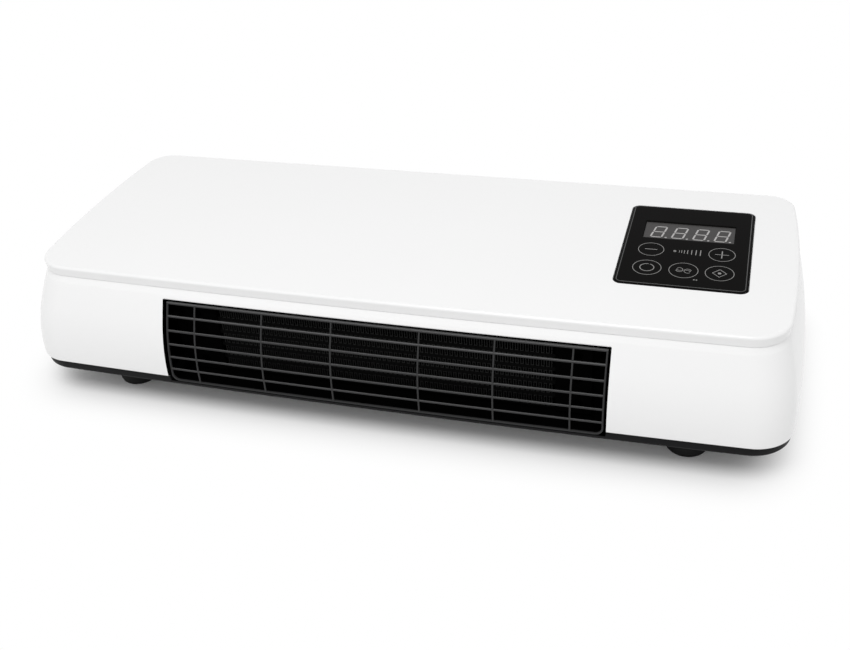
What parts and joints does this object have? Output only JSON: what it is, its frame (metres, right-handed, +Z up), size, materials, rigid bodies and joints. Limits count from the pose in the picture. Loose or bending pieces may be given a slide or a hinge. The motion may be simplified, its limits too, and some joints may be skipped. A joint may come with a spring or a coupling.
{
  "type": "low electric fan heater",
  "caption": "Long low fan heater with a barrel-walled case on short feet, a flat lid with a touch panel and display, and a wide warm-air grille along the front foot.",
  "frame": {"origin": "on the floor under the middle of the case, at the feet's undersides", "axes": "+X to the right seen from the front, +Y towards the back (the outlet faces -Y), +Z up"},
  "size_m": [0.483, 0.2012, 0.0907],
  "materials": {
    "white_plastic": "fine satin white",
    "black_plastic": "matt black",
    "grille_plastic": "satin black",
    "duct_plastic": "matt black, heat resistant",
    "panel_plastic": "smooth black",
    "display_face": "grey tinted window",
    "board_green": "green lacquer",
    "spring_steel": "bright",
    "aluminium": "plain",
    "brass": "plain",
    "impeller_plastic": "glass-filled dark grey",
    "hub_brass": "turned",
    "shaft_steel": "ground",
    "core_steel": "laminated",
    "copper": "lacquered winding",
    "motor_steel": "zinc plated",
    "bracket_steel": "zinc plated",
    "bush_bronze": "sintered",
    "soft_rubber": "soft matt",
    "ceramic_cream": "phenolic",
    "relay_blue": "moulded",
    "capacitor_yellow": "moulded",
    "terminal_green": "moulded",
    "rocker_plastic": "polished black",
    "foot_rubber": "matt",
    "screw_steel": "plated"
  },
  "bodies": {
    "housing": {"top_cover": "white_plastic", "body_shell": "white_plastic", "base_tray": "black_plastic", "switch_housing": "black_plastic", "outlet_grille": "grille_plastic", "inlet_grille": "grille_plastic", "heater_frame": "duct_plastic", "fan_housing": "duct_plastic", "fan_cover": "duct_plastic", "heater_holder_left": "duct_plastic", "heater_holder_right": "duct_plastic", "touch_panel": "panel_plastic", "display_module": "display_face", "control_board": "board_green", "power_board": "board_green", "touch_springs": "spring_steel", "heater_tubes": "aluminium", "heater_fins": "aluminium", "heater_terminals": "brass", "motor_stator": "copper", "motor_case": "motor_steel", "motor_end_cap": "motor_steel", "motor_bracket": "bracket_steel", "bearing_bush": "bush_bronze", "bearing_mount": "soft_rubber", "cord_grommet": "soft_rubber", "thermal_cutout": "ceramic_cream", "power_relays": "relay_blue", "supply_capacitor": "capacitor_yellow", "terminal_block": "terminal_green", "foot_front_left": "foot_rubber", "foot_front_right": "foot_rubber", "foot_rear_left": "foot_rubber", "foot_rear_right": "foot_rubber", "foot_screws": "screw_steel", "case_screws": "screw_steel", "board_screws": "screw_steel"},
    "fan": {"fan_impeller": "impeller_plastic", "drive_hub": "hub_brass", "motor_shaft": "shaft_steel", "motor_rotor": "core_steel", "end_spindle": "shaft_steel"},
    "rocker": {"power_rocker": "rocker_plastic"}
  },
  "joints": [
    {"name": "fan_spin", "type": "hinge", "parent": "housing", "child": "fan", "pos_m": [0, 0.026, 0.0513], "axis": [1, 0, 0], "continuous": true},
    {"name": "rocker_tilt", "type": "hinge", "parent": "housing", "child": "rocker", "pos_m": [0.185, 0.095, 0.044], "axis": [1, 0, 0], "range_deg": [0, 20]}
  ]
}
